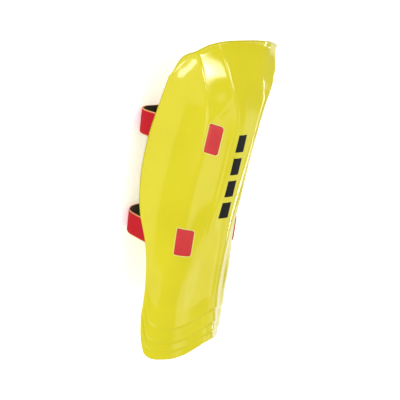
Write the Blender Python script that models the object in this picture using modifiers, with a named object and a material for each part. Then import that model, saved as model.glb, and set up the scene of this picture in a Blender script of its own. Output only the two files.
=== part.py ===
"""Ski racing shin guard: a creased shell with two elastic strap loops sewn through it.

Metres, +Z up. The guard lies hollow side down on the flat backs of its strap loops. The knee end
is at +Y, the front of the shin faces up, and the wearer's left wing is at -X.
"""
from collections import namedtuple

import bmesh
import bpy
import numpy as np

# Driving dimensions
shell_length = 0.363
half_width = 0.062      # centre line to the crease of a wing, at the lower strap
shell_depth = 0.079     # front of the shin to the furthest rear edge
front_height = 0.1085   # front of the shin above the surface that the straps rest on
wall = 0.0025
gap = 0.0003            # left between pieces that touch

lip_flare = 0.0016      # the top rim turns outwards by this
lip_depth = 0.006
rib_height = 0.0012     # the ribs round the foot end
rib_fall = 0.0025
slot_width = 0.0042     # the slots that the strap ends go out through
slot_clearance = 0.0008  # past each edge of the strap
slot_reach = 0.015      # how deep the cutter is, through the wall

strap_width = 0.0265
strap_thickness = 0.0016
lining_thickness = 0.0009
tab_height = 0.030
tab_thickness = 0.0012
tab_front_corner = 0.0030
tab_rear_corner = 0.0012
closure_length = 0.046  # the hidden overlap of each strap behind the calf
closure_thickness = 0.0018

# The shell's creases at sections from the knee end (0) to the foot end (1). Widths are shares of
# half_width, and forward places and the flange are shares of shell_depth.
SECTION_COLUMNS = ("along", "centre_forward", "band_half", "band_forward", "shoulder_half",
                   "shoulder_forward", "wing_half", "wing_forward", "flange")
SECTIONS = (
    (0.00, 0.07, 0.78, -0.19, 1.05, -0.45, 0.98, -0.64, 0.04),
    (0.10, 0.06, 0.61, -0.01, 0.86, -0.31, 0.89, -0.61, 0.14),
    (0.20, 0.05, 0.33, 0.05, 0.68, -0.23, 0.85, -0.57, 0.31),
    (0.32, 0.03, 0.28, 0.01, 0.63, -0.25, 0.88, -0.63, 0.37),
    (0.45, 0.01, 0.29, -0.04, 0.68, -0.29, 0.94, -0.68, 0.33),
    (0.54, 0.00, 0.31, -0.09, 0.73, -0.30, 0.98, -0.69, 0.24),
    (0.62, 0.00, 0.33, -0.13, 0.77, -0.29, 0.99, -0.68, 0.11),
    (0.75, 0.00, 0.36, -0.17, 0.84, -0.26, 1.00, -0.64, 0.05),
    (0.88, 0.02, 0.39, -0.17, 0.86, -0.29, 1.04, -0.61, 0.06),
    (1.00, 0.05, 0.41, -0.15, 0.87, -0.32, 1.12, -0.58, 0.06),
)
FLANGE_LEAN = 0.15      # the flange behind a wing's crease leans outwards by this share of itself
MIDDLE = 0.5036         # the place along the shell that lies over the origin

# Where the creases lie across the shell, from the centre line (0) to the rear edge (1)
CREASES = (0.0, 0.20, 0.46, 0.80, 1.0)

# How far each crease is rounded to either side, in the same measure, at places along the shell.
# Columns: along, and the creases at the centre, the band, the shoulder and the wing
SOFTNESS = (
    (0.00, 0.10, 0.05, 0.06, 0.06),
    (0.20, 0.10, 0.03, 0.04, 0.06),
    (0.45, 0.12, 0.03, 0.05, 0.06),
    (0.60, 0.12, 0.04, 0.14, 0.10),
    (0.80, 0.12, 0.10, 0.18, 0.14),
    (1.00, 0.12, 0.14, 0.18, 0.14),
)

# The trimmed ends, as shares of shell_length. Columns: across, knee end, foot end
ENDS = (
    (0.00, 0.009, 0.952),
    (0.05, 0.010, 0.954),
    (0.10, 0.013, 0.963),
    (0.15, 0.017, 0.975),
    (0.20, 0.022, 0.986),
    (0.33, 0.035, 0.999),
    (0.46, 0.053, 1.000),
    (0.63, 0.064, 0.996),
    (0.74, 0.073, 0.980),
    (0.80, 0.081, 0.957),
    (0.90, 0.099, 0.915),
    (1.00, 0.135, 0.870),
)

# Crests of the ribs, as shares of shell_length up from the foot end
RIB_CRESTS = (0.037, 0.069, 0.121)
RIB_RUN_OUT = 0.050     # the last rib fades out over this share of shell_length

# Each strap: its middle along the shell, then as shares of half_width where its tabs sit, how wide
# they are and how far their front edges drop, and the loop's half width and corner radius
Strap = namedtuple("Strap", "along tab_out tab_width tab_drop loop_half loop_corner")
STRAPS = {
    "upper": Strap(0.281, 0.635, 0.235, 0.045, 0.87, 0.32),
    "lower": Strap(0.597, 0.790, 0.300, 0.020, 0.93, 0.32),
}
# Where a strap is led round the inside of a wing, across the shell, and the least step to the first
STRAP_LEADS = (0.60, 0.70, 0.77, 0.84, 0.90, 0.96)
FIRST_STEP = 0.03
LINING_START = 5        # the lining leaves out this many steps of the strap at each end

# How finely the surfaces are divided
COLUMNS_BETWEEN_CREASES = (4, 3, 4, 3)
BODY_ROWS = 28
CORNER_STEPS = 6
TAB_ROWS = 5
TAB_COLUMNS = (-1, -0.9, -0.7, 0, 0.8, 0.95, 1)     # shares of half a tab's width
ROUND_STEPS = 200       # for measuring round a section

YELLOW = (0.73, 0.64, 0.03)
RED = (0.53, 0.012, 0.02)
TAB_RED = (0.62, 0.05, 0.06)
BLACK = (0.012, 0.012, 0.013)


def smooth_rows(x, rows):
    """Smooth curves through a table's rows: its first column is the place, the others follow."""
    table = np.array(rows, float)
    place, value = table[:, 0], table[:, 1:]
    slope = np.gradient(value, place, axis=0)
    i = np.clip(np.searchsorted(place, x) - 1, 0, len(place) - 2)
    step = (place[i + 1] - place[i])[..., None]
    t = (np.asarray(x) - place[i])[..., None] / step
    return ((2 * t**3 - 3 * t**2 + 1) * value[i] + (t**3 - 2 * t**2 + t) * step * slope[i]
            + (3 * t**2 - 2 * t**3) * value[i + 1] + (t**3 - t**2) * step * slope[i + 1])


def outer_surface(across, along):
    """Points of the shell's outer face: across from -1 to 1, along from the knee end, 0, to 1."""
    section = smooth_rows(along, SECTIONS)
    column = {name: section[..., i] for i, name in enumerate(SECTION_COLUMNS[1:])}
    flange = column["flange"] * shell_depth
    half = [0 * flange, column["band_half"] * half_width, column["shoulder_half"] * half_width,
            column["wing_half"] * half_width]
    forward = [column["centre_forward"] * shell_depth, column["band_forward"] * shell_depth,
               column["shoulder_forward"] * shell_depth, column["wing_forward"] * shell_depth]
    half.append(half[-1] + FLANGE_LEAN * flange)
    forward.append(forward[-1] - flange)

    softness = smooth_rows(along, SOFTNESS)
    distance = np.abs(across)
    x, z = 0 * along, 0 * along
    x_shift, z_shift = 0 * along, 0 * along
    run_before = None
    for k in range(len(CREASES) - 1):
        low, high = CREASES[k], CREASES[k + 1]
        run = ((half[k + 1] - half[k]) / (high - low), (forward[k + 1] - forward[k]) / (high - low))
        x = np.where(distance >= low, half[k] + (distance - low) * run[0], x)
        z = np.where(distance >= low, forward[k] + (distance - low) * run[1], z)
        if run_before is None:
            run_before = (run[0], -run[1])
        reach = softness[..., k]
        round_off = np.clip(reach - np.abs(distance - low), 0, None) ** 2 / (4 * reach)
        x_shift = x_shift + (run[0] - run_before[0]) * round_off
        z_shift = z_shift + (run[1] - run_before[1]) * round_off
        run_before = run
    x = x + x_shift
    z = z + z_shift
    y = shell_length * (MIDDLE - along)
    return np.stack([np.sign(across) * x, y, front_height + z], -1)


def outward(across, along):
    """Unit normals of the outer face, from small steps across and along it."""
    small = 0.004
    side = outer_surface(across + small, along) - outer_surface(across - small, along)
    down = outer_surface(across, along + small) - outer_surface(across, along - small)
    normal = np.cross(down, side)
    return normal / np.linalg.norm(normal, axis=-1, keepdims=True)


def lifted(across, along, lift):
    """Points at a height above the outer face, or inside it where lift is negative."""
    return outer_surface(across, along) + np.asarray(lift)[..., None] * outward(across, along)


def across_at(distance_out, along):
    """Where a distance measured round the shell from the centre line falls across it."""
    across = np.linspace(0, 1, ROUND_STEPS)
    points = outer_surface(across, np.full_like(across, along))
    steps = np.hypot(np.diff(points[:, 0]), np.diff(points[:, 2]))
    travelled = np.concatenate([[0], np.cumsum(steps)])
    return np.interp(distance_out, travelled, across)


def foot_profile():
    """Distances up from the foot end and the lift of the ribs there, a step down below each crest."""
    distance, lift = [0.0], [rib_height / 2]
    for crest in RIB_CRESTS:
        distance += [crest * shell_length - rib_fall, crest * shell_length]
        lift += [0.0, rib_height]
    distance.append((RIB_CRESTS[-1] + RIB_RUN_OUT) * shell_length)
    lift.append(0.0)
    return np.array(distance), np.array(lift)


def lip_profile():
    """Distances down from the top rim and how far the lip turns outwards there."""
    share = np.array([0.0, 0.3, 0.6, 1.0])
    return share * lip_depth, lip_flare * (1 - share) ** 2


def make_material(name, colour, roughness, coat=0.0):
    material = bpy.data.materials.new(name)
    material.use_nodes = True
    shader = material.node_tree.nodes["Principled BSDF"]
    shader.inputs["Base Color"].default_value = (*colour, 1.0)
    shader.inputs["Roughness"].default_value = roughness
    shader.inputs["Metallic"].default_value = 0.0
    shader.inputs["Coat Weight"].default_value = coat
    return material


def sheet(name, grid, thickness, offset, material):
    """An open grid of points given a wall: offset -1 grows it inwards, 1 outwards, 0 both ways."""
    rows, columns = grid.shape[:2]
    index = np.arange(rows * columns).reshape(rows, columns)
    quads = np.stack([index[:-1, :-1], index[1:, :-1], index[1:, 1:], index[:-1, 1:]], -1)
    mesh = bpy.data.meshes.new(name)
    mesh.from_pydata(grid.reshape(-1, 3).tolist(), [], quads.reshape(-1, 4).tolist())
    mesh.materials.append(material)
    mesh.shade_smooth()
    piece = bpy.data.objects.new(name, mesh)
    guard.objects.link(piece)
    solid = piece.modifiers.new("Wall", 'SOLIDIFY')
    solid.thickness = thickness
    solid.offset = offset
    return piece


def shell_grid():
    """The shell's outer face: rows from the top rim to the foot end, columns from left to right."""
    half = [0.0]
    for k, count in enumerate(COLUMNS_BETWEEN_CREASES):
        half += list(np.linspace(CREASES[k], CREASES[k + 1], count + 1)[1:])
    across = np.array([-value for value in half[:0:-1]] + half)
    ends = smooth_rows(np.abs(across), ENDS)
    knee_end = ends[:, 0] * shell_length
    foot_end = ends[:, 1] * shell_length

    lip_distance, lip_lift = lip_profile()
    foot_distance, foot_lift = foot_profile()
    body_rows = np.linspace(0, 1, BODY_ROWS + 2)[1:-1]
    top = knee_end[None, :] + lip_distance[:, None]
    bottom = foot_end[None, :] - foot_distance[::-1, None]
    body = top[-1] + (bottom[0] - top[-1]) * body_rows[:, None]
    distance = np.concatenate([top, body, bottom])
    fade = np.clip((CREASES[-1] - np.abs(across)) / (CREASES[-1] - CREASES[-2]), 0, 1)
    lift = np.concatenate([lip_lift[:, None] * fade, np.zeros(body.shape),
                           foot_lift[::-1, None] * fade])
    across = np.broadcast_to(across, distance.shape)
    return lifted(across, distance / shell_length, lift)


def make_shell():
    shell = sheet("shell", shell_grid(), wall, -1, shell_plastic)
    for name, strap in STRAPS.items():
        for side, word in ((-1, "left"), (1, "right")):
            slot = make_slot(f"{name}_slot_{word}", strap, side)
            cut = shell.modifiers.new(slot.name, 'BOOLEAN')
            cut.operation = 'DIFFERENCE'
            cut.object = slot
    return shell


def make_slot(name, strap, side):
    """A box through the wall, longer than the strap is wide and square to the outer face."""
    across = side * across_at(strap.tab_out * half_width, strap.along)
    place = outer_surface(np.array(across), np.array(strap.along))
    normal = outward(np.array(across), np.array(strap.along))
    lengthways = np.array([0.0, 1.0, 0.0])
    sideways = np.cross(lengthways, normal)
    sideways /= np.linalg.norm(sideways)
    lengthways = np.cross(normal, sideways)
    mesh = bpy.data.meshes.new(name)
    box = bmesh.new()
    bmesh.ops.create_cube(box, size=1.0)
    size = (slot_width, strap_width + 2 * slot_clearance, slot_reach)
    for vertex in box.verts:
        shift = (vertex.co.x * size[0] * sideways + vertex.co.y * size[1] * lengthways
                 + vertex.co.z * size[2] * normal)
        vertex.co = place + shift
    bmesh.ops.recalc_face_normals(box, faces=box.faces)
    box.to_mesh(mesh)
    box.free()
    slot = bpy.data.objects.new(name, mesh)
    cutters.objects.link(slot)
    slot.hide_render = True
    slot.display_type = 'WIRE'
    return slot


def strap_side(strap, y):
    """The left half of a strap's middle line at one y: slot, inside of the wing, loop, centre."""
    along = MIDDLE - y / shell_length
    slot = across_at(strap.tab_out * half_width, strap.along)
    inside = -(wall + gap + strap_thickness)
    places = [slot]
    places += [value for value in STRAP_LEADS if value > slot + FIRST_STEP]
    across = -np.array(places)
    line = lifted(across, np.full(len(across), along), np.full(len(across), inside))
    end = lifted(-np.array([slot]), np.array([along]), np.array([-gap]))
    half = strap.loop_half * half_width
    radius = strap.loop_corner * half_width
    floor = strap_thickness / 2
    turn = np.linspace(0, np.pi / 2, CORNER_STEPS + 1)
    loop_x = -half + radius * (1 - np.cos(turn))
    loop_z = floor + radius * (1 - np.sin(turn))
    loop = np.stack([loop_x, np.full(len(turn), y), loop_z], -1)
    centre = np.array([[0.0, y, floor]])
    return np.concatenate([end, line, loop, centre])


def mirrored_grid(halves):
    """Whole paths from left halves that end on the centre line: one column for each half."""
    grid = np.stack(halves, 1)
    other = grid[-2::-1] * np.array([-1, 1, 1])
    return np.concatenate([grid, other])


def strap_grid(strap):
    middle = shell_length * (MIDDLE - strap.along)
    edges = middle + strap_width * np.array([0.5, 0.0, -0.5])
    return mirrored_grid([strap_side(strap, y) for y in edges])


def lining_grid(strap):
    """The free stretch of a strap, moved inside it by half of both walls and the gap."""
    grid = strap_grid(strap)
    path = grid[LINING_START:-LINING_START]
    tangent = np.gradient(path, axis=0)
    inward = np.cross(tangent, np.array([0.0, 1.0, 0.0]))
    inward /= np.linalg.norm(inward, axis=-1, keepdims=True)
    if inward[len(path) // 2, 0, 2] < 0:
        inward = -inward
    return path + inward * (strap_thickness / 2 + gap + lining_thickness / 2)


def tab_grid(strap, side):
    """A rounded plate that follows the outer face, with larger corners at its front."""
    reach = strap.tab_width * half_width / 2
    drop = strap.tab_drop * half_width / 2
    outwards = reach * np.array(TAB_COLUMNS)
    corner = np.where(outwards < 0, tab_front_corner, tab_rear_corner)
    into_corner = np.clip(np.abs(outwards) - (reach - corner), 0, None)
    half_height = tab_height / 2 - corner + np.sqrt(np.clip(corner**2 - into_corner**2, 0, None))
    up = np.linspace(1, -1, TAB_ROWS)
    grid = np.zeros((len(up), len(outwards), 3))
    for i, share in enumerate(up):
        for j, out in enumerate(outwards):
            along = strap.along - (share * half_height[j] + drop * out / reach) / shell_length
            across = across_at(strap.tab_out * half_width + out, along)
            grid[i, j] = lifted(np.array(side * across), np.array(along), np.array(gap))
    return grid if side > 0 else grid[:, ::-1]


def make_closure(name, strap):
    """The strap's hidden overlap: one plain plate on the flat back of the loop."""
    bpy.ops.mesh.primitive_cube_add(size=1.0)
    closure = bpy.context.active_object
    closure.name = name
    closure.data.name = name
    below = strap_thickness + 2 * gap + lining_thickness
    closure.location = (0, shell_length * (MIDDLE - strap.along), below + closure_thickness / 2)
    closure.scale = (closure_length, strap_width, closure_thickness)
    bpy.ops.object.transform_apply(location=False, rotation=False, scale=True)
    closure.data.materials.append(webbing)
    rounding = closure.modifiers.new("Rounding", 'BEVEL')
    rounding.width = closure_thickness / 4
    rounding.segments = 2
    for collection in closure.users_collection:
        collection.objects.unlink(closure)
    guard.objects.link(closure)
    return closure


for old in list(bpy.data.objects):
    bpy.data.objects.remove(old, do_unlink=True)

guard = bpy.data.collections.new("shin_guard")
cutters = bpy.data.collections.new("cutters")
bpy.context.scene.collection.children.link(guard)
bpy.context.scene.collection.children.link(cutters)

shell_plastic = make_material("shell_plastic", YELLOW, 0.18, coat=0.5)
webbing = make_material("strap_webbing", RED, 0.75)
tab_rubber = make_material("tab_rubber", TAB_RED, 0.5)
lining_cloth = make_material("strap_lining", BLACK, 0.85)

make_shell()
for strap_name, strap_row in STRAPS.items():
    sheet(f"{strap_name}_strap", strap_grid(strap_row), strap_thickness, 0, webbing)
    sheet(f"{strap_name}_strap_lining", lining_grid(strap_row), lining_thickness, 0, lining_cloth)
    make_closure(f"{strap_name}_closure", strap_row)
    for tab_side, tab_word in ((-1, "left"), (1, "right")):
        sheet(f"{strap_name}_tab_{tab_word}", tab_grid(strap_row, tab_side), tab_thickness, 1,
              tab_rubber)
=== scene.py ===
# Ski racing shin guard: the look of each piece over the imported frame. Metres, the frame's axes.
import math

import bpy
import numpy as np
from mathutils import Matrix


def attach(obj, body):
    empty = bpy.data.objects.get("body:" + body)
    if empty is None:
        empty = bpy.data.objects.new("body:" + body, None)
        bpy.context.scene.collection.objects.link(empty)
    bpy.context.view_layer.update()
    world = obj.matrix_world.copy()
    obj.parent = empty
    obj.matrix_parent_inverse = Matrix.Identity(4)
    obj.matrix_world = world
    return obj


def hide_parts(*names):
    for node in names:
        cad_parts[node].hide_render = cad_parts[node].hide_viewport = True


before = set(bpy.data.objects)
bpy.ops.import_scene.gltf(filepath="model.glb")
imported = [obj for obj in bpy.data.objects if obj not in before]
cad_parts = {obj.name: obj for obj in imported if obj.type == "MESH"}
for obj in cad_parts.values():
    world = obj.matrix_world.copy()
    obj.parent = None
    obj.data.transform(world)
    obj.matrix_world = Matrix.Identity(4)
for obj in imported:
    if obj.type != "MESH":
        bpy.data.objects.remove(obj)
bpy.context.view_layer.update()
print("frame loaded")


# Shared sizes, the same as the frame's
size = dict(length=0.363, halfWidth=0.062, depth=0.079, frontHeight=0.1085, wall=0.0025,
            gap=0.0003, strapWidth=0.0265, strapThickness=0.0016, liningThickness=0.0009)

# The shell's creases at sections down its length. Columns: along, centre forward, band half and
# forward, shoulder half and forward, wing half and forward, flange
sections = np.array([
    (0.00, 0.07, 0.78, -0.19, 1.05, -0.45, 0.98, -0.64, 0.04),
    (0.10, 0.06, 0.61, -0.01, 0.86, -0.31, 0.89, -0.61, 0.14),
    (0.20, 0.05, 0.33, 0.05, 0.68, -0.23, 0.85, -0.57, 0.31),
    (0.32, 0.03, 0.28, 0.01, 0.63, -0.25, 0.88, -0.63, 0.37),
    (0.45, 0.01, 0.29, -0.04, 0.68, -0.29, 0.94, -0.68, 0.33),
    (0.54, 0.00, 0.31, -0.09, 0.73, -0.30, 0.98, -0.69, 0.24),
    (0.62, 0.00, 0.33, -0.13, 0.77, -0.29, 0.99, -0.68, 0.11),
    (0.75, 0.00, 0.36, -0.17, 0.84, -0.26, 1.00, -0.64, 0.05),
    (0.88, 0.02, 0.39, -0.17, 0.86, -0.29, 1.04, -0.61, 0.06),
    (1.00, 0.05, 0.41, -0.15, 0.87, -0.32, 1.12, -0.58, 0.06),
])
flangeLean = 0.15
middle = 0.5036      # the place along the shell that lies over the origin
creases = (0.0, 0.20, 0.46, 0.80, 1.0)   # their places across, from the centre line to the edge

# How far each crease is rounded. Columns: along, centre, band, shoulder, wing
softness = np.array([
    (0.00, 0.10, 0.05, 0.06, 0.06),
    (0.20, 0.10, 0.03, 0.04, 0.06),
    (0.45, 0.12, 0.03, 0.05, 0.06),
    (0.60, 0.12, 0.04, 0.14, 0.10),
    (0.80, 0.12, 0.10, 0.18, 0.14),
    (1.00, 0.12, 0.14, 0.18, 0.14),
])

# The trimmed ends. Columns: across, knee end, foot end
ends = np.array([
    (0.00, 0.009, 0.952),
    (0.05, 0.010, 0.954),
    (0.10, 0.013, 0.963),
    (0.15, 0.017, 0.975),
    (0.20, 0.022, 0.986),
    (0.33, 0.035, 0.999),
    (0.46, 0.053, 1.000),
    (0.63, 0.064, 0.996),
    (0.74, 0.073, 0.980),
    (0.80, 0.081, 0.957),
    (0.90, 0.099, 0.915),
    (1.00, 0.135, 0.870),
])

# Straps: place along, then shares of half width for the tabs' place and width and the loop
straps = dict(
    upper=dict(along=0.281, tabOut=0.635, tabWidth=0.235, tabDrop=0.045, loopHalf=0.87, loopCorner=0.32),
    lower=dict(along=0.597, tabOut=0.790, tabWidth=0.300, tabDrop=0.020, loopHalf=0.93, loopCorner=0.32),
)


# Smooth curves through a table: cubic pieces with the mean slope of the neighbours at each row
def smoothRows(x, table):
    place, value = table[:, 0], table[:, 1:]
    slope = np.gradient(value, place, axis=0)
    i = np.clip(np.searchsorted(place, x) - 1, 0, len(place) - 2)
    step = (place[i + 1] - place[i])[..., None]
    t = (np.asarray(x) - place[i])[..., None] / step
    return ((2 * t**3 - 3 * t**2 + 1) * value[i] + (t**3 - 2 * t**2 + t) * step * slope[i]
            + (3 * t**2 - 2 * t**3) * value[i + 1] + (t**3 - t**2) * step * slope[i + 1])


# Outer face: straight between creases, each crease rounded by a parabola of its own softness
def outerSurface(across, along):
    row = smoothRows(along, sections)
    flange = row[..., 7] * size["depth"]
    half = [0 * flange] + [row[..., k] * size["halfWidth"] for k in (1, 3, 5)]
    forward = [row[..., k] * size["depth"] for k in (0, 2, 4, 6)]
    half.append(half[-1] + flangeLean * flange)
    forward.append(forward[-1] - flange)
    soft = smoothRows(along, softness)
    distance = np.abs(across)
    x, z, xShift, zShift = (0 * along * distance for _ in range(4))
    before = None
    for k in range(4):
        low, high = creases[k], creases[k + 1]
        run = ((half[k + 1] - half[k]) / (high - low), (forward[k + 1] - forward[k]) / (high - low))
        x = np.where(distance >= low, half[k] + (distance - low) * run[0], x)
        z = np.where(distance >= low, forward[k] + (distance - low) * run[1], z)
        before = before or (run[0], -run[1])
        reach = soft[..., k]
        roundOff = np.clip(reach - np.abs(distance - low), 0, None) ** 2 / (4 * reach)
        xShift = xShift + (run[0] - before[0]) * roundOff
        zShift = zShift + (run[1] - before[1]) * roundOff
        before = run
    y = size["length"] * (middle - along) + 0 * x
    return np.stack([np.sign(across) * (x + xShift), y, size["frontHeight"] + z + zShift], -1)


# Vectors brought to length 1, and no length left as it is
def unit(vector):
    return vector / np.maximum(np.linalg.norm(vector, axis=-1, keepdims=True), 1e-9)


# Normals: the cross product of small steps down and across the outer face
def outward(across, along, small=0.002):
    side = outerSurface(across + small, along) - outerSurface(across - small, along)
    down = outerSurface(across, along + small) - outerSurface(across, along - small)
    return unit(np.cross(down, side))


# Places above the outer face, or below it where the lift is negative
def lifted(across, along, lift):
    return outerSurface(across, along) + np.asarray(lift)[..., None] * outward(across, along)


# Where distances measured round the shell from the centre line fall across it, each at its along:
# the section is cut into short chords, whose running sum is read backwards
def acrossAt(distance, along, chords=400):
    distance, along = np.broadcast_arrays(distance, along)
    steps = np.linspace(0, 1, chords)
    points = outerSurface(steps, along.ravel()[:, None] + 0 * steps)
    run = np.cumsum(np.hypot(np.diff(points[..., 0]), np.diff(points[..., 2])), -1)
    run = np.concatenate([0 * run[:, :1], run], -1)
    goal = distance.ravel()[:, None]
    i = np.clip((run < goal).sum(-1, keepdims=True) - 1, 0, len(steps) - 2)
    low, high = np.take_along_axis(run, i, -1), np.take_along_axis(run, i + 1, -1)
    share = (goal - low) / (high - low)
    return (steps[i] + share * (steps[i + 1] - steps[i])).reshape(distance.shape)


# 0 below low, 1 above high, an S curve between
def ramp(x, low, high):
    t = np.clip((np.asarray(x, float) - low) / (high - low), 0, 1)
    return t * t * (3 - 2 * t)


# Four-sided faces over a grid of points
def gridFaces(rows, columns):
    index = np.arange(rows * columns).reshape(rows, columns)
    return np.stack([index[:-1, :-1], index[1:, :-1], index[1:, 1:], index[:-1, 1:]], -1).reshape(-1, 4)


# The border of a grid once round: first row, last column, last row backwards, first column upwards
def border(grid):
    return np.concatenate([grid[0, :-1], grid[:-1, -1], grid[-1, :0:-1], grid[:0:-1, 0]])


# The faces between two closed rows of points
def ringFaces(first, second):
    return np.stack([first, second, np.roll(second, -1), np.roll(first, -1)], -1)


# One mesh object from whole arrays, with any two-number maps it needs at its corners
def addPiece(name, points, faces, material, maps=None, body="root"):
    mesh = bpy.data.meshes.new(name)
    mesh.from_pydata(np.asarray(points).reshape(-1, 3).tolist(), [], faces.tolist())
    corner = np.empty(len(mesh.loops), int)
    mesh.loops.foreach_get("vertex_index", corner)
    for key, values in (maps or {}).items():
        layer = mesh.uv_layers.new(name=key)
        layer.uv.foreach_set("vector", np.asarray(values).reshape(-1, 2)[corner].astype(np.float32).ravel())
    mesh.materials.append(material)
    mesh.shade_smooth()
    piece = bpy.data.objects.new(name, mesh)
    bpy.context.scene.collection.objects.link(piece)
    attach(piece, body)
    return piece


# Shader maths: a socket that + - * / can be written with, and any other Math node by its name
class Wire:
    def __init__(self, shade, socket):
        self.shade, self.socket = shade, socket

    def math(self, operation, *others):
        return self.shade.math(operation, self, *others)

    def __add__(self, other):
        return self.math("ADD", other)

    def __sub__(self, other):
        return self.math("SUBTRACT", other)

    def __mul__(self, other):
        return self.math("MULTIPLY", other)

    def __truediv__(self, other):
        return self.math("DIVIDE", other)

    def __rsub__(self, other):
        return self.shade.math("SUBTRACT", other, self)

    def __rtruediv__(self, other):
        return self.shade.math("DIVIDE", other, self)

    __radd__ = __add__
    __rmul__ = __mul__


# One material's node tree
class Shade:
    def __init__(self, name):
        self.material = bpy.data.materials.new(name)
        self.material.use_nodes = True
        self.tree = self.material.node_tree
        self.surface = self.tree.nodes["Principled BSDF"]

    def feed(self, socket, value):
        if isinstance(value, Wire):
            self.tree.links.new(value.socket, socket)
        else:
            socket.default_value = value

    # Any node: its type, its settings and its inputs by name or number; gives one output
    def make(self, kind, settings=None, inputs=None, out=0):
        node = self.tree.nodes.new(kind)
        for key, value in (settings or {}).items():
            setattr(node, key, value)
        for key, value in (inputs or {}).items():
            self.feed(node.inputs[key], value)
        return Wire(self, node.outputs[out])

    def math(self, operation, *values):
        return self.make("ShaderNodeMath", dict(operation=operation), dict(enumerate(values)))

    # 0 below low, 1 above high, smooth between
    def ramp(self, value, low, high):
        return self.make("ShaderNodeMapRange", dict(interpolation_type="SMOOTHSTEP"),
                         {"Value": value, "From Min": low, "From Max": high})

    # A colour between two; the Mix node's colour sockets are 6 and 7, and 2 on the way out
    def mix(self, factor, a, b):
        return self.make("ShaderNodeMix", dict(data_type="RGBA"), {0: factor, 6: a, 7: b}, out=2)

    # The two numbers of a map
    def mapPair(self, name):
        both = self.make("ShaderNodeUVMap", dict(uv_map=name))
        split = self.make("ShaderNodeSeparateXYZ", None, {0: both})
        return split, Wire(self, split.socket.node.outputs[1])

    def noise(self, scale, detail=2.0):
        place = self.make("ShaderNodeTexCoord", out="Object")
        return self.make("ShaderNodeTexNoise", None, {"Vector": place, "Scale": scale, "Detail": detail})

    # Large soft patches of a piece's two tones
    def patches(self, look):
        tone = self.ramp(self.noise(look["toneScale"], 3), *look["toneRange"])
        return self.mix(tone, *look["tones"])

    def bump(self, height, distance):
        normal = self.make("ShaderNodeBump", None, {"Distance": distance, "Height": height})
        self.feed(self.surface.inputs["Normal"], normal)

    # The surface's own sockets, by name with underscores for blanks
    def finish(self, **inputs):
        for key, value in inputs.items():
            self.feed(self.surface.inputs[key.replace("_", " ")], value)
        return self.material


# Camera at the photograph's angle: turned to its left, raised and rolled in degrees, with the focal
# length in pixels of a picture this wide
cameraLook = dict(turn=52, rise=20, roll=8.6, distance=0.617, target=(0, -0.0007, 0.0635),
                  focal=551, pictureWidth=400, sensor=36, nearest=0.01, farthest=50)


# The matrix of an object from its three directions and its place
def placed(right, up, back, place):
    rows = np.eye(4)
    rows[:3, 0], rows[:3, 1], rows[:3, 2], rows[:3, 3] = right, up, back, place
    return Matrix(rows.tolist())


def makeCamera(look):
    turn, rise, roll = (math.radians(look[key]) for key in ("turn", "rise", "roll"))
    back = np.array([-math.sin(turn) * math.cos(rise), math.sin(rise), math.cos(turn) * math.cos(rise)])
    up = unit(np.array([0, 1, 0]) - back * back[1])
    right = np.cross(up, back)
    up, right = (up * math.cos(roll) - right * math.sin(roll),
                 right * math.cos(roll) + up * math.sin(roll))
    place = np.array(look["target"]) + look["distance"] * back
    camera = bpy.data.objects.new("camera", bpy.data.cameras.new("camera"))
    camera.data.sensor_width = look["sensor"]
    camera.data.lens = look["focal"] * look["sensor"] / look["pictureWidth"]
    camera.data.clip_start, camera.data.clip_end = look["nearest"], look["farthest"]
    camera.matrix_world = placed(right, up, back, place)
    bpy.context.scene.collection.objects.link(camera)
    bpy.context.scene.camera = camera


makeCamera(cameraLook)

# Studio: a pale floor, a white sky that mirrors see darker, and cards that only gloss sees. The near
# cards light one part of the knee or the side each, and the ones 3 m off light a whole long facet.
# Each card: the place it faces, its azimuth from +Y towards +X and elevation as seen from there in
# degrees, its distance, its width and height in degrees, and its brightness
studio = dict(
    sky=1.30, mirroredSky=0.22, floorColour=(0.96, 0.96, 0.96), floorRoughness=0.9,
    floorGlow=0.38, mirroredFloor=(0.85, 0.85, 0.85), floorReach=20, floorDrop=0.0003,
    cards=dict(
        kneeWide=((-0.050, 0.146, 0.088), -113, 23, 0.25, 23, 19, 6),
        knee=((-0.050, 0.146, 0.088), -113, 23, 0.24, 18, 14, 9),
        kneeCore=((-0.050, 0.146, 0.088), -115, 22, 0.24, 12, 9, 16),
        lobe=((-0.055, 0.151, 0.069), -121, -31, 0.05, 9, 8, 12),
        crown=((-0.038, 0.145, 0.105), -109, 65, 0.29, 39, 5, 18),
        rimTop=((0, 0, 0.08), 97, 21, 3.0, 9, 5, 12),
        rim=((0, 0, 0.08), 109, 16, 3.0, 14, 5, 12),
        far=((0, 0, 0.08), 89, 5, 3.0, 3, 8, 5),
        front=((0, 0, 0.08), 114, 37, 3.0, 23, 22, 1.0),
        turn=((0, 0, 0.08), 139, 54, 3.0, 22, 12, 0.9),
        side=((-0.038, 0.018, 0.088), -120, 51, 0.25, 22, 20, 1.5),
        foot=((-0.020, -0.110, 0.095), 166, 59, 3.0, 24, 14, 1.3),
        crest=((-0.020, -0.130, 0.095), 170, 77, 3.0, 24, 10, 1.8),
    ))


# White all round, darker in mirrors
def makeSky(look):
    world = bpy.data.worlds.new("sky")
    bpy.context.scene.world = world
    world.use_nodes = True
    nodes, links = world.node_tree.nodes, world.node_tree.links
    nodes["Background"].inputs["Color"].default_value = (1, 1, 1, 1)
    ray = nodes.new("ShaderNodeLightPath")
    dim = nodes.new("ShaderNodeMapRange")
    dim.inputs["To Min"].default_value = look["sky"]
    dim.inputs["To Max"].default_value = look["mirroredSky"]
    links.new(ray.outputs["Is Glossy Ray"], dim.inputs["Value"])
    links.new(dim.outputs["Result"], nodes["Background"].inputs["Strength"])


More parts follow.
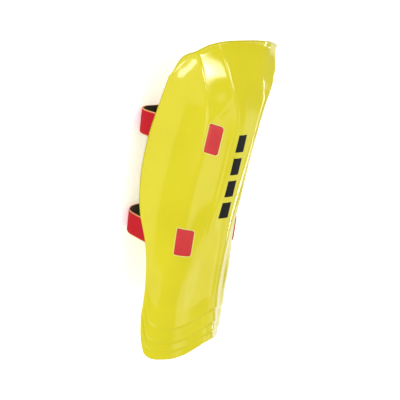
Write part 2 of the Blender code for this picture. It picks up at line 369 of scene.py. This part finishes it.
# A flat square, a little below the part, that glows for all but mirrors
def makeFloor(look):
    shade = Shade("floor")
    mirrored = shade.make("ShaderNodeLightPath", out="Is Glossy Ray")
    colour = shade.mix(mirrored, (*look["floorColour"], 1), (*look["mirroredFloor"], 1))
    glow = shade.mix(mirrored, (1, 1, 1, 1), (0, 0, 0, 1))
    shade.finish(Base_Color=colour, Roughness=look["floorRoughness"], Specular_IOR_Level=0.0,
                 Emission_Color=glow, Emission_Strength=look["floorGlow"])
    mesh = bpy.data.meshes.new("floor")
    reach = look["floorReach"]
    mesh.from_pydata([(-reach, -reach, 0), (reach, -reach, 0), (reach, reach, 0), (-reach, reach, 0)],
                     [], [(0, 1, 2, 3)])
    mesh.materials.append(shade.material)
    floor = bpy.data.objects.new("floor", mesh)
    floor.location.z = -look["floorDrop"]
    bpy.context.scene.collection.objects.link(floor)


# A lit rectangle that faces its target and is seen in mirrors alone
def makeCard(name, target, azimuth, elevation, distance, width, height, brightness):
    a, e = math.radians(azimuth), math.radians(elevation)
    back = np.array([math.sin(a) * math.cos(e), math.cos(a) * math.cos(e), math.sin(e)])
    lamp = bpy.data.lights.new(name, "AREA")
    lamp.shape = "RECTANGLE"
    lamp.size = 2 * distance * math.tan(math.radians(width) / 2)
    lamp.size_y = 2 * distance * math.tan(math.radians(height) / 2)
    lamp.energy = brightness * math.pi * lamp.size * lamp.size_y
    side = unit(np.cross((0, 0, 1), back))
    card = bpy.data.objects.new(name, lamp)
    card.matrix_world = placed(side, np.cross(back, side), back, np.array(target) + distance * back)
    card.visible_diffuse, card.visible_camera = False, False
    bpy.context.scene.collection.objects.link(card)


makeSky(studio)
makeFloor(studio)
for cardName, cardRow in studio["cards"].items():
    makeCard(cardName, *cardRow)
bpy.context.scene.view_settings.view_transform = "Standard"
print("camera and studio made")


# The tabs' sizes and finish, which the shell's outlines round them also use
tabLook = dict(
    height=0.030, thickness=0.0012, edgeThickness=0.0005, frontCorner=0.0030, rearCorner=0.0012,
    steps=41, crowding=1.5, swellWidth=0.006, edgeWidth=0.0004,
    tones=((0.53, 0.033, 0.035, 1), (0.49, 0.027, 0.030, 1)), toneScale=60, toneRange=(0.3, 0.7),
    roughness=0.40, gloss=0.15, grain=2500, grainHeight=0.00002,
)

# Shell. Places and widths across and along are shares, as in the tables above. Heights, the lip, the
# ribs' fall and the outlines round the tabs are in metres
shellLook = dict(
    tones=((0.585, 0.523, 0.0145, 1), (0.560, 0.493, 0.0115, 1)), toneScale=18, toneRange=(0.35, 0.75),
    roughness=0.12, gloss=0.40, grain=900, grainHeight=0.000002,
    # the pale line round each tab is a painted highlight along the edge of a shallow groove
    outlineHighlight=(0.68, 0.66, 0.16, 1), outlineWidth=0.0010, outlineAway=0.0004, outlineDepth=0.00008,
    mark=(0.004, 0.004, 0.004, 1), markRoughness=0.8, markMiddle=-0.098, markHalf=0.066,
    markFrom=0.260, markTo=0.535, markCount=4, markShare=0.76, markSoftSide=0.004, markSoftEnd=0.02,
    creaseLines=((0.20, 0.02, 0.17), (0.46, 0.08, 0.26)), lineWidth=0.013, lineHeight=0.00018,
    lineFade=0.03,
    nearTab=0.07, farOff=0.01,
    columns=114, creaseCrowding=3.0, creaseReach=0.03,
    rows=205, lipCrowding=2.5, lipReach=0.02, footCrowding=2.6, footFrom=(0.82, 0.86),
    lipFlare=0.0016, lipDepth=0.006, rimSteps=3, rimBulge=0.6,
    ribHeight=0.0012, ribFall=0.0054, ribCrests=(0.037, 0.069, 0.121), ribRunOut=0.050,
    ridge=0.27, ridgeHeight=0.0004, ridgeFrom=(0.22, 0.34), ridgeTo=(0.60, 0.75),
    railHeight=0.00030, railInner=0.20, railOuter=0.235, railBlend=0.010,
    railFrom=(0.16, 0.20), railTo=(0.50, 0.66),
    foldHeight=0.0006, foldWidth=0.012, foldFrom=(0.22, 0.155), foldTo=(0.44, 0.228),
    foldRise=(-0.15, 0.15), foldFade=(0.65, 1.0),
    bandHeight=0.0012, bandTip=(0.11, 0.150), bandArch=(0.070, 0.100), bandBend=1.3,
    bandNarrowing=0.004, bandSide=(0.11, 0.19), bandTo=(0.3, 0.5),
)


# Places from 0 to 1 that crowd where the weight is high: even steps of the weight's running sum
def crowded(weight, count):
    total = np.concatenate([[0], np.cumsum((weight[1:] + weight[:-1]) / 2)])
    return np.interp(np.linspace(0, total[-1], count), total, np.linspace(0, 1, len(weight)))


# Columns are closer together at the creases, rows at the lip and the ribs
def shellPlaces(look, fineSteps=4001):
    fine = np.linspace(0, 1, fineSteps)
    atCreases = sum(np.exp(-((fine - c) / look["creaseReach"]) ** 2) for c in creases[:4])
    half = crowded(1 + look["creaseCrowding"] * atCreases, look["columns"])
    across = np.concatenate([-half[:0:-1], half])
    atLip = np.exp(-(fine / look["lipReach"]) ** 2)
    atFoot = ramp(fine, *look["footFrom"])
    down = crowded(1 + look["lipCrowding"] * atLip + look["footCrowding"] * atFoot, look["rows"])
    end = smoothRows(np.abs(across), ends)
    along = end[:, 0] + down[:, None] * (end[:, 1] - end[:, 0])
    fromKnee = (along - end[:, 0]) * size["length"]
    fromFoot = (end[:, 1] - along) * size["length"]
    return np.broadcast_to(across, along.shape), along, fromKnee, fromFoot


# Lift over the plain surface: the lip turns out as a square law, and each rib rises slowly to its
# crest and falls in a short step below it
def shellLift(across, fromKnee, fromFoot, look):
    lip = look["lipFlare"] * np.clip(1 - fromKnee / look["lipDepth"], 0, None) ** 2
    crests = np.array(look["ribCrests"]) * size["length"]
    feet = crests - look["ribFall"]
    uppers = np.append(feet[1:], crests[-1] + look["ribRunOut"] * size["length"])
    rib = 0 * fromFoot
    for crest, foot, upper in zip(crests, feet, uppers):
        rise = np.clip((upper - fromFoot) / (upper - crest), 0, 1)
        fall = ramp(fromFoot, foot, crest)
        rib = rib + np.where(fromFoot >= crest, rise, np.where(fromFoot >= foot, fall, 0))
    lowest = np.clip(1 - fromFoot / feet[0], 0, 1) / 2
    fade = np.clip((creases[-1] - np.abs(across)) / (creases[-1] - creases[-2]), 0, 1)
    return (lip + look["ribHeight"] * (rib + lowest)) * fade


# Low relief on the front, as lifts over the plain surface. The ridge between band and shoulder is a
# gable, the rail beside the band a step up and down, the fold from the band's tip to the upper tab a
# bell curve round its line, and the band is higher than the knee from an arched edge on
def frontRelief(across, along, look):
    u = np.abs(across)
    ridge = np.clip(np.minimum((u - creases[1]) / (look["ridge"] - creases[1]),
                               (creases[2] - u) / (creases[2] - look["ridge"])), 0, 1)
    ridge = ridge * ramp(along, *look["ridgeFrom"]) * (1 - ramp(along, *look["ridgeTo"]))
    inner, outer, blend = look["railInner"], look["railOuter"], look["railBlend"]
    rail = ramp(u, inner - blend, inner) - ramp(u, outer, outer + blend)
    rail = rail * ramp(along, *look["railFrom"]) * (1 - ramp(along, *look["railTo"]))
    start, stop = np.array(look["foldFrom"]), np.array(look["foldTo"])
    run = stop - start
    t = ((u - start[0]) * run[0] + (along - start[1]) * run[1]) / (run @ run)
    off = ((u - start[0]) * -run[1] + (along - start[1]) * run[0]) / np.linalg.norm(run)
    fold = np.exp(-(off / look["foldWidth"]) ** 2)
    fold = fold * ramp(t, *look["foldRise"]) * (1 - ramp(t, *look["foldFade"]))
    tip, (arch, foot) = look["bandTip"], look["bandArch"]
    t = np.clip(u / tip[0], 0, 1)
    bend = t ** look["bandBend"]
    upper = arch + (tip[1] - arch) * bend - look["bandNarrowing"] * t
    lower = foot + (tip[1] - foot) * bend
    band = np.clip((along - upper) / (lower - upper), 0, 1) * (1 - ramp(u, *look["bandSide"]))
    band = band * (1 - ramp(along, *look["bandTo"]))
    return (look["ridgeHeight"] * ridge + look["railHeight"] * rail + look["foldHeight"] * fold
            + look["bandHeight"] * band)


# The rim: flattened half circles between the outer and the inner face all round. They bulge away from
# the surface's last row or column
def rimRings(outer, inner, look):
    rowAway = np.concatenate([outer[:1] - outer[1:2], 0 * outer[1:-1], outer[-1:] - outer[-2:-1]])
    columnAway = np.concatenate([outer[:, :1] - outer[:, 1:2], 0 * outer[:, 1:-1],
                                 outer[:, -1:] - outer[:, -2:-1]], 1)
    away = unit(unit(border(rowAway)) + unit(border(columnAway)))
    centre, arm = (border(outer) + border(inner)) / 2, (border(outer) - border(inner)) / 2
    turn = np.linspace(0, np.pi, look["rimSteps"] + 2)[1:-1, None, None]
    reach = np.linalg.norm(arm, axis=-1, keepdims=True) * look["rimBulge"]
    return centre + np.cos(turn) * arm + np.sin(turn) * reach * away


# Distance from a tab's outline on the plain surface, below 0 inside it: a box with round corners,
# measured round the shell along short chords
def fromTab(strap, look, across, along, chords=200):
    reach = strap["tabWidth"] * size["halfWidth"] / 2
    steps = np.linspace(0, 1, chords) * np.abs(across)[:, None]
    points = outerSurface(steps, along[:, None] + 0 * steps)
    girth = np.hypot(np.diff(points[..., 0]), np.diff(points[..., 2])).sum(-1)
    out = (girth - strap["tabOut"] * size["halfWidth"]) / reach
    up = (strap["along"] - along) * size["length"] - strap["tabDrop"] * size["halfWidth"] / 2 * out
    corner = np.where(out < 0, look["frontCorner"], look["rearCorner"])
    past = np.abs(out) * reach - reach + corner, np.abs(up) - look["height"] / 2 + corner
    return np.hypot(*(np.clip(q, 0, None) for q in past)) + np.clip(np.maximum(*past), None, 0) - corner


# The distance from the nearest tab's outline for each point, or far off where no tab is near
def fromTabs(across, along, look):
    distance = np.full(across.shape, look["farOff"])
    for strap in straps.values():
        close = np.abs(along - strap["along"]) < look["nearTab"]
        distance[close] = np.minimum(distance[close], fromTab(strap, tabLook, across[close], along[close]))
    return distance


# Outer face, inner face and rim. Its maps: place is across and along, and side is 0 outside, 1 inside
# and a half on the rim, with the distance from the nearest tab beside it
def makeShell(look, material):
    across, along, fromKnee, fromFoot = shellPlaces(look)
    lift = shellLift(across, fromKnee, fromFoot, look) + frontRelief(across, along, look)
    outer = lifted(across, along, lift)
    inner = lifted(across, along, lift - size["wall"])
    rings = rimRings(outer, inner, look)
    count = across.size
    loop = border(np.arange(count).reshape(across.shape))
    inRings = 2 * count + np.arange(rings.shape[0] * rings.shape[1]).reshape(rings.shape[:2])
    chain = [loop, *inRings, loop + count]
    sheet = gridFaces(*across.shape)
    faces = np.concatenate([sheet, sheet[:, ::-1] + count, *map(ringFaces, chain[:-1], chain[1:])])
    points = np.concatenate([outer.reshape(-1, 3), inner.reshape(-1, 3), rings.reshape(-1, 3)])
    pair = np.stack([across, along], -1).reshape(-1, 2)
    place = np.concatenate([pair, pair, np.tile(pair[loop], (len(rings), 1))])
    side = np.concatenate([np.zeros(count), np.ones(count), np.full(inRings.size, 0.5)])
    tabEdge = np.full(len(points), look["farOff"])
    tabEdge[:count] = fromTabs(across.ravel(), along.ravel(), look)
    maps = dict(place=place, side=np.stack([side, tabEdge], -1))
    shell = addPiece("shell_fine", points, faces, material, maps)
    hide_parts("shell")
    return shell


# A plain broken stripe down the band: 1 inside its dashes
def dashes(shade, across, along, look):
    half, share = look["markHalf"], look["markShare"] / 2
    beside = shade.math("ABSOLUTE", across - look["markMiddle"])
    start, stop = look["markFrom"], look["markTo"]
    step = (along - start) / ((stop - start) / look["markCount"])
    inStep = shade.math("ABSOLUTE", shade.math("FRACT", step) - share)
    inRow = shade.math("GREATER_THAN", along, start) * shade.math("LESS_THAN", along, stop)
    narrow = 1 - shade.ramp(beside, half - look["markSoftSide"], half + look["markSoftSide"])
    return narrow * inRow * (1 - shade.ramp(inStep, share - look["markSoftEnd"], share))


def shellMaterial(look):
    shade = Shade("shell_yellow")
    across, along = shade.mapPair("place")
    side, tabEdge = shade.mapPair("side")
    outside = 1 - shade.ramp(side, 0.1, 0.2)   # the marks stop before the rim
    colour = shade.patches(look)
    # Pale line round each tab: a painted highlight along the edge of the shallow groove that the bump below
    # also cuts there
    fromLine = shade.math("ABSOLUTE", tabEdge - look["outlineAway"])
    line = 1 - shade.ramp(fromLine, look["outlineWidth"] / 2, look["outlineWidth"])
    colour = shade.mix(line * outside, colour, look["outlineHighlight"])
    inMark = dashes(shade, across, along, look) * outside
    colour = shade.mix(inMark, colour, look["mark"])
    relief = shade.noise(look["grain"]) * look["grainHeight"] - line * look["outlineDepth"]
    beside = shade.math("ABSOLUTE", across)
    for place, start, stop in look["creaseLines"]:
        crease = 1 - shade.ramp(shade.math("ABSOLUTE", beside - place), 0, look["lineWidth"])
        starts = shade.ramp(along, start, start + look["lineFade"])
        stops = 1 - shade.ramp(along, stop - look["lineFade"], stop)
        relief = relief + crease * starts * stops * look["lineHeight"]
    shade.bump(relief * outside, 1.0)
    rough = inMark * (look["markRoughness"] - look["roughness"]) + look["roughness"]
    return shade.finish(Base_Color=colour, Roughness=rough, Specular_IOR_Level=look["gloss"])


makeShell(shellLook, shellMaterial(shellLook))
print("shell made")


# Tabs: plates with round corners that follow the outer face. The plate is a square grid squeezed in at
# the corners, and its top swells from a thin edge as a parabola
def makeTab(name, strap, side, look, material):
    reach = strap["tabWidth"] * size["halfWidth"] / 2
    share = np.linspace(-1, 1, look["steps"])
    share = np.sign(share) * (1 - (1 - np.abs(share)) ** look["crowding"])
    out, up = np.meshgrid(share, share)
    corner = np.where(out < 0, look["frontCorner"], look["rearCorner"])
    inCorner = np.clip(np.abs(out) * reach - (reach - corner), 0, None)
    halfHeight = look["height"] / 2 - corner + np.sqrt(np.clip(corner**2 - inCorner**2, 0, None))
    drop = strap["tabDrop"] * size["halfWidth"] / 2
    along = strap["along"] - (up * halfHeight + drop * out) / size["length"]
    across = acrossAt(strap["tabOut"] * size["halfWidth"] + out * reach, along)
    edge = np.minimum((1 - np.abs(out)) * reach, (1 - np.abs(up)) * halfHeight)
    swell = np.clip(edge / look["swellWidth"], 0, 1)
    lift = size["gap"] + look["edgeThickness"] * np.clip(edge / look["edgeWidth"], 0, 1) ** 0.5
    lift = lift + (look["thickness"] - look["edgeThickness"]) * swell * (2 - swell)
    top = lifted(side * across, along, lift)
    bottom = lifted(side * across, along, 0 * lift + size["gap"])
    count = out.size
    loop = border(np.arange(count).reshape(out.shape))
    sheet = gridFaces(*out.shape)
    faces = np.concatenate([sheet, sheet[:, ::-1] + count, ringFaces(loop, loop + count)])
    if side < 0:   # the left tab is a mirror image, so its faces are turned
        faces = faces[:, ::-1]
    points = np.concatenate([top.reshape(-1, 3), bottom.reshape(-1, 3)])
    tab = addPiece(name + "_fine", points, faces, material)
    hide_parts(name)
    return tab


def tabMaterial(look):
    shade = Shade("tab_red")
    shade.bump(shade.noise(look["grain"]), look["grainHeight"])
    return shade.finish(Base_Color=shade.patches(look), Roughness=look["roughness"],
                        Specular_IOR_Level=look["gloss"])


tabRed = tabMaterial(tabLook)
for strapName, strapRow in straps.items():
    for tabSide, word in ((-1, "left"), (1, "right")):
        makeTab(f"{strapName}_tab_{word}", strapRow, tabSide, tabLook, tabRed)
print("tabs made")


# Straps, and the black plies inside them. Pitches are the lengths of a thread's wave in the weave
strapLook = dict(
    deep=(0.39, 0.004, 0.010, 1), pale=(0.54, 0.009, 0.019, 1), paleRange=(0.1, 0.9),
    # edge: pale orange on the straps' rounded edges, a painted highlight where they catch the light
    edge=(0.70, 0.34, 0.13, 1), edgeAt=(0.0120, 0.0126), ribPitch=0.0016, yarnPitch=0.0011,
    weaveHeight=0.0002, roughness=0.72, gloss=0.12, columns=21, steps=200, edgeShare=0.25,
)
liningLook = dict(
    deep=(0.010, 0.010, 0.011, 1), pale=(0.03, 0.03, 0.032, 1), ribPitch=0.0014, yarnPitch=0.0012,
    weaveHeight=0.0002, roughness=0.85, cut=5,   # path points left out at each end
)
strapLeads = (0.60, 0.70, 0.77, 0.84, 0.90, 0.96)   # places across that a strap passes inside the wing


# A strap's middle line at one y: from the slot along the inside of the wing, round a quarter circle
# and along the floor to the middle
def strapSide(strap, y, turnSteps=13, floorSteps=7, clear=0.03):
    along = middle - y / size["length"]
    slot = float(acrossAt(strap["tabOut"] * size["halfWidth"], strap["along"]))
    inside = -(size["wall"] + size["gap"] + size["strapThickness"])
    across = -np.array([slot] + [value for value in strapLeads if value > slot + clear])
    line = lifted(across, np.full(len(across), along), np.full(len(across), inside))
    end = lifted(-np.array([slot]), np.array([along]), np.array([-size["gap"]]))
    half = strap["loopHalf"] * size["halfWidth"]
    radius = strap["loopCorner"] * size["halfWidth"]
    floor = size["strapThickness"] / 2
    turn = np.linspace(0, np.pi / 2, turnSteps)
    loop = np.stack([-half + radius * (1 - np.cos(turn)), 0 * turn + y,
                     floor + radius * (1 - np.sin(turn))], -1)
    x = np.linspace(-half + radius, 0, floorSteps + 1)[1:]
    centre = np.stack([x, 0 * x + y, 0 * x + floor], -1)
    return np.concatenate([end, line, loop, centre])


# Both halves of that line, the right one mirrored
def strapPath(strap, y):
    half = strapSide(strap, y)
    return np.concatenate([half, half[-2::-1] * np.array([-1, 1, 1])])


# A strap's line at each of its columns, passed again at even steps, with its ends cut where asked
def evenPath(strap, look, cut=0):
    strapMiddle = size["length"] * (middle - strap["along"])
    lines = []
    for y in strapMiddle + size["strapWidth"] / 2 * np.linspace(1, -1, look["columns"]):
        line = strapPath(strap, y)
        line = line[cut:len(line) - cut]
        run = np.concatenate([[0], np.cumsum(np.linalg.norm(np.diff(line, axis=0), axis=-1))])
        even = np.linspace(0, run[-1], look["steps"])
        lines.append(np.stack([np.interp(even, run, line[:, k]) for k in range(3)], -1))
    return np.stack(lines, 1)


# A band with a flattened oval section carried along a path that has a line for each column. Its map
# is the distance sideways from its middle, and the distance travelled from the middle of its length
def makeBand(name, path, thickness, shift, edgeShare, material, replaced):
    width = size["strapWidth"]
    normal = unit(np.cross(np.gradient(path, axis=0), np.array([0.0, 1.0, 0.0])))
    if normal[len(path) // 2, 0, 2] < 0:   # the shift is towards the inside of the loop
        normal = -normal
    columns = path.shape[1]
    share = np.linspace(-1, 1, columns)
    rounded = thickness / width
    inEdge = np.clip((np.abs(share) - (1 - rounded)) / rounded, 0, 1)
    half = (thickness / 2 * np.maximum(np.sqrt(1 - inEdge**2), edgeShare))[None, :, None]
    core = path + normal * shift
    section = np.concatenate([core + normal * half, (core - normal * half)[:, ::-1]], 1)
    rows, around = section.shape[:2]
    index = np.arange(rows * around).reshape(rows, around)
    faces = np.stack([index[:-1], np.roll(index[:-1], -1, 1), np.roll(index[1:], -1, 1), index[1:]], -1)
    k = np.arange(columns - 1)
    cap = np.stack([k, k + 1, around - 2 - k, around - 1 - k], -1)
    faces = np.concatenate([faces.reshape(-1, 4), index[0][cap], index[-1][cap[:, [0, 3, 2, 1]]]])
    steps = np.linalg.norm(np.diff(path[:, columns // 2], axis=0), axis=-1)
    travelled = np.concatenate([[0], np.cumsum(steps)])
    travelled -= travelled[-1] / 2
    sideways = np.concatenate([share, share[::-1]]) * width / 2
    places = np.stack(np.broadcast_arrays(sideways[None, :], travelled[:, None]), -1)
    band = addPiece(name, section, faces, material, dict(place=places))
    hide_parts(replaced)
    return band


# Threads that pass over and under: the product of two waves, from 0 to 1
def weave(shade, look):
    sideways, travelled = shade.mapPair("place")
    rib = shade.math("SINE", travelled * (2 * math.pi / look["ribPitch"]))
    yarn = shade.math("SINE", sideways * (2 * math.pi / look["yarnPitch"]))
    return sideways, rib * yarn * 0.5 + 0.5


def strapMaterial(look):
    shade = Shade("strap_red")
    sideways, threads = weave(shade, look)
    colour = shade.mix(shade.ramp(threads, *look["paleRange"]), look["deep"], look["pale"])
    # The rounded edges of the strap are painted pale orange, on both sides: a painted highlight where the
    # edge catches the light
    edge = shade.ramp(shade.math("ABSOLUTE", sideways), *look["edgeAt"])
    colour = shade.mix(edge, colour, look["edge"])
    shade.bump(threads, look["weaveHeight"])
    return shade.finish(Base_Color=colour, Roughness=look["roughness"], Specular_IOR_Level=look["gloss"])


def liningMaterial(look):
    shade = Shade("strap_black")
    threads = weave(shade, look)[1]
    shade.bump(threads, look["weaveHeight"])
    colour = shade.mix(threads, look["deep"], look["pale"])
    return shade.finish(Base_Color=colour, Roughness=look["roughness"])


strapRed, liningBlack = strapMaterial(strapLook), liningMaterial(liningLook)
inset = size["strapThickness"] / 2 + size["gap"] + size["liningThickness"] / 2
for strapName, strapRow in straps.items():
    makeBand(f"{strapName}_strap_fine", evenPath(strapRow, strapLook), size["strapThickness"], 0,
             strapLook["edgeShare"], strapRed, f"{strapName}_strap")
    makeBand(f"{strapName}_lining_fine", evenPath(strapRow, strapLook, liningLook["cut"]),
             size["liningThickness"], inset, strapLook["edgeShare"], liningBlack,
             f"{strapName}_strap_lining")
    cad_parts[f"{strapName}_closure"].material_slots[0].material = strapRed
print("straps made")
